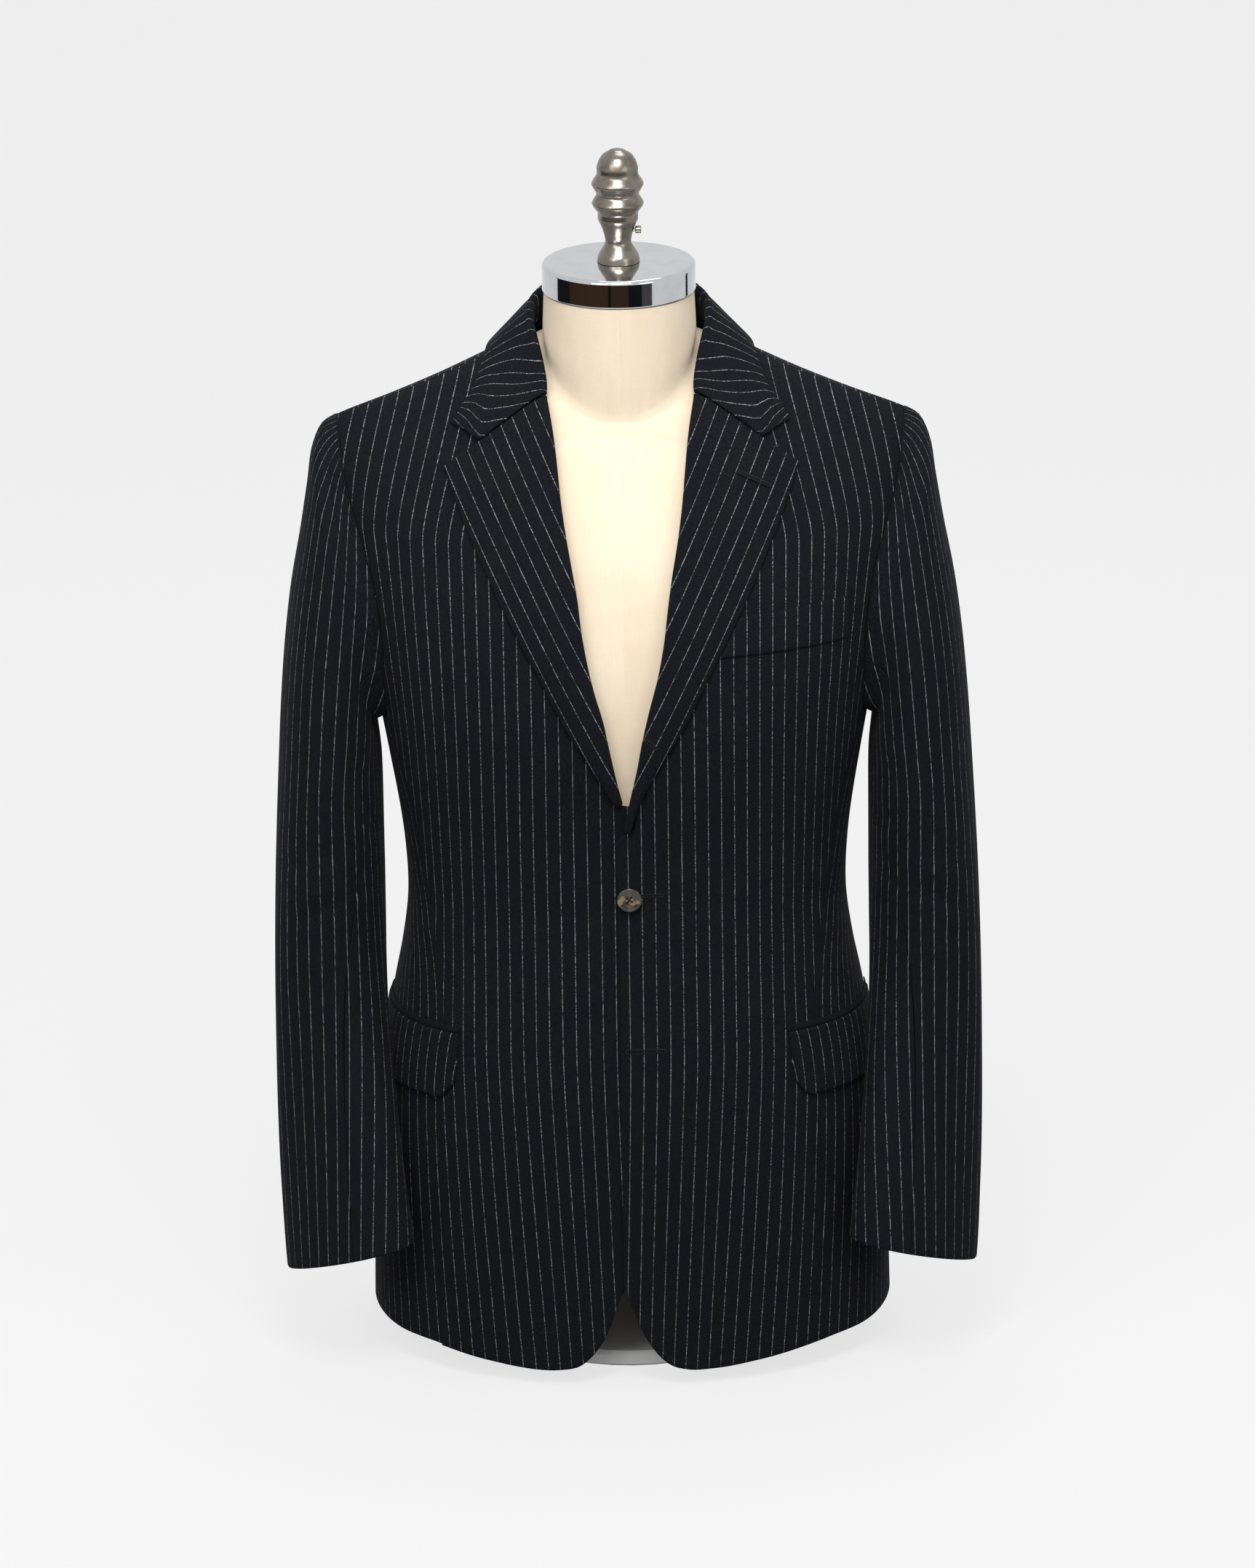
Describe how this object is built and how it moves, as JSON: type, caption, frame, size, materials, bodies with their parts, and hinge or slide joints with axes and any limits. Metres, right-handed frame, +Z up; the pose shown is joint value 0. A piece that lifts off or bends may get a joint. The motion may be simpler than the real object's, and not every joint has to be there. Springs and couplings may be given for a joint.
{
  "type": "chalk stripe suit jacket on dress form",
  "caption": "Single-breasted notch-lapel suit jacket in dark chalk stripe flannel, worn by a limbless linen dress form with a neck cap, finial and round base.",
  "frame": {"origin": "centre of the round base plate's underside, on the floor", "axes": "+Z up; -Y is the front of the jacket; +X is the wearer's left"},
  "size_m": [0.5492, 0.2921, 0.9537],
  "materials": {
    "chalk stripe flannel": "matt wool flannel, dark charcoal navy, with narrow grey chalk stripes about 10 mm apart",
    "horn": "dark mottled brown horn, satin polish",
    "linen": "cream linen cover, fine plain weave",
    "chrome": "polished chrome plate",
    "nickel": "turned and polished nickel plate",
    "base paint": "pale satin powder coat"
  },
  "bodies": {
    "root": {"front_left": "chalk stripe flannel", "side_left": "chalk stripe flannel", "back_left": "chalk stripe flannel", "lapel_left": "chalk stripe flannel", "flap_left": "chalk stripe flannel", "jet_left": "chalk stripe flannel", "sleeve_upper_left": "chalk stripe flannel", "sleeve_under_left": "chalk stripe flannel", "sleeve_button_1_left": "horn", "sleeve_button_2_left": "horn", "front_right": "chalk stripe flannel", "side_right": "chalk stripe flannel", "back_right": "chalk stripe flannel", "lapel_right": "chalk stripe flannel", "flap_right": "chalk stripe flannel", "jet_right": "chalk stripe flannel", "sleeve_upper_right": "chalk stripe flannel", "sleeve_under_right": "chalk stripe flannel", "sleeve_button_1_right": "horn", "sleeve_button_2_right": "horn", "collar": "chalk stripe flannel", "chest_welt": "chalk stripe flannel", "button_middle": "horn", "form_body": "linen", "neck_cap": "chrome", "finial": "nickel", "set_screw": "nickel", "pole": "nickel", "base_plate": "base paint"}
  },
  "joints": []
}
